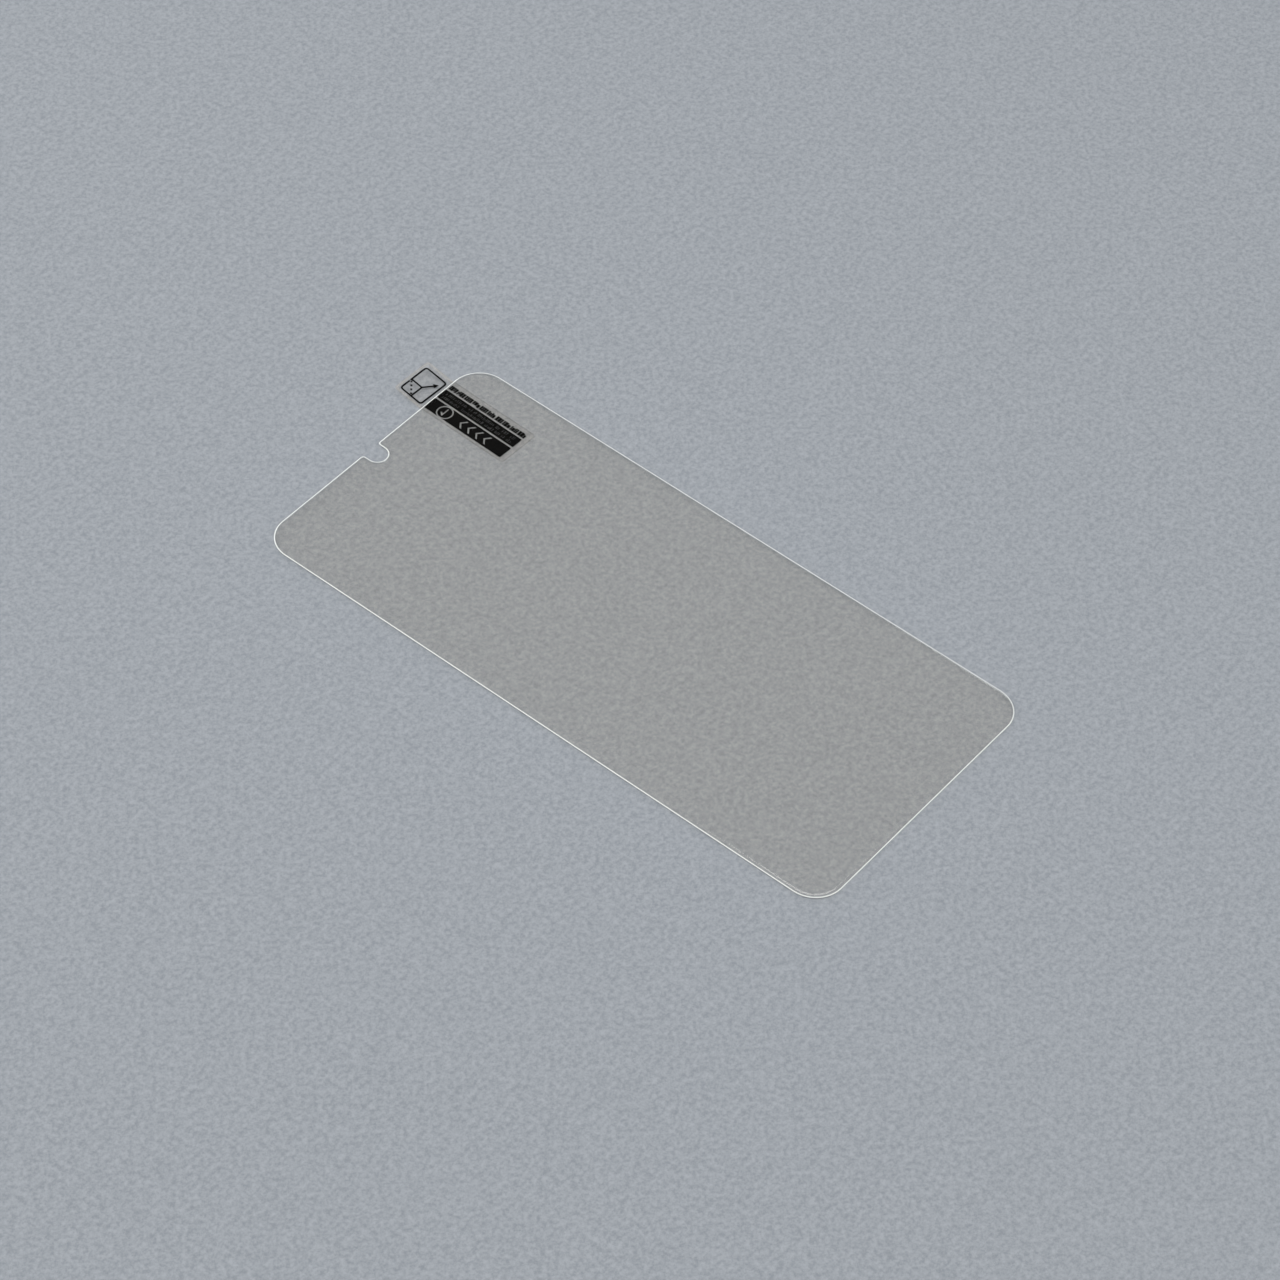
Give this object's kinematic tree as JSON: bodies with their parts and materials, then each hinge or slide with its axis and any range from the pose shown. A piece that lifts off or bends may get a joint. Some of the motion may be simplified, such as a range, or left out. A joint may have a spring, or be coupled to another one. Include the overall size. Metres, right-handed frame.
{
  "type": "phone screen protector",
  "caption": "Thin clear tempered glass screen cover with rounded corners, a small earpiece notch, and a printed pull tab that peels its release liner.",
  "frame": {"origin": "middle of the bond face, the underside of the adhesive coat, on the plate's centre lines", "axes": "+Z from the bond face to the touch face, +Y along the plate to its notched end, +X across to the side with the pull tab"},
  "size_m": [0.07, 0.1581, 0.0013],
  "materials": {
    "clear_glass": "clear polished faces, ground edge",
    "clear_silicone": "clear and glossy",
    "liner_film": "clear film, very slightly warm",
    "label_film": "clear film, slightly warm",
    "black_ink": "solid black print"
  },
  "bodies": {
    "root": {"glass_plate": "clear_glass", "adhesive_layer": "clear_silicone", "release_liner": "liner_film", "pull_tab_label": "label_film", "label_print": "black_ink"}
  },
  "joints": []
}
